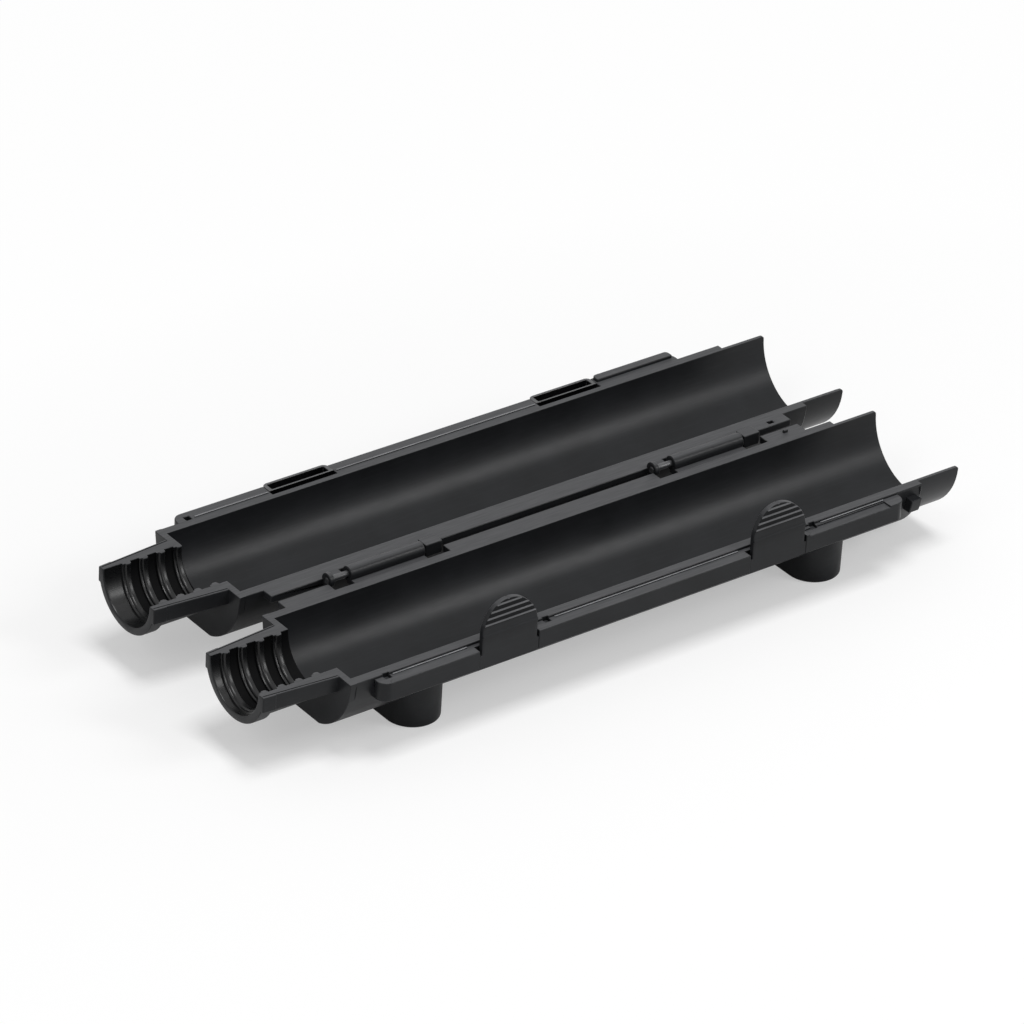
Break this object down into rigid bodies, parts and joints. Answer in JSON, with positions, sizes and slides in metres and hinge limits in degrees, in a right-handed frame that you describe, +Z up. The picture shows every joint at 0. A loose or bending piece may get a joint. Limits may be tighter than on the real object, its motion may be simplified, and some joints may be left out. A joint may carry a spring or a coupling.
{
  "type": "sushi rice mould",
  "caption": "Hinged rice mould: half-round troughs with threaded half-necks, feet, hinge pins, ribbed spring tabs and slotted catches, lying open",
  "frame": {"origin": "middle of the footprint, on the surface that the four feet stand on", "axes": "+X from the neck end to the open end, +Y from the half with the tabs to the half with the catches, +Z up"},
  "size_m": [0.275, 0.1187, 0.0442],
  "materials": {
    "satin_black_plastic": "satin moulded",
    "gloss_black_plastic": "glossy moulded",
    "pin_plastic": "smooth"
  },
  "bodies": {
    "front_half": {"front_barrel": "satin_black_plastic", "front_neck": "satin_black_plastic", "front_foot_left": "satin_black_plastic", "front_foot_right": "satin_black_plastic"},
    "back_half": {"back_barrel": "satin_black_plastic", "back_neck": "satin_black_plastic", "back_foot_left": "satin_black_plastic", "back_foot_right": "satin_black_plastic", "catch_left": "gloss_black_plastic", "catch_right": "gloss_black_plastic", "hinge_pin_left": "pin_plastic", "hinge_pin_right": "pin_plastic"},
    "left_tab": {"latch_left": "satin_black_plastic"},
    "right_tab": {"latch_right": "satin_black_plastic"}
  },
  "joints": [
    {"name": "mould_hinge", "type": "hinge", "parent": "front_half", "child": "back_half", "pos_m": [0, -0.0003, 0.03015], "axis": [1, 0, 0], "range_deg": [0, 180]},
    {"name": "left_tab_flex", "type": "hinge", "parent": "front_half", "child": "left_tab", "pos_m": [-0.0525, -0.0574, 0.0225], "axis": [-1, 0, 0], "range_deg": [0, 2.5], "stiffness_Nm_per_rad": 0.1},
    {"name": "right_tab_flex", "type": "hinge", "parent": "front_half", "child": "right_tab", "pos_m": [0.0558, -0.0574, 0.0225], "axis": [-1, 0, 0], "range_deg": [0, 2.5], "stiffness_Nm_per_rad": 0.1}
  ]
}
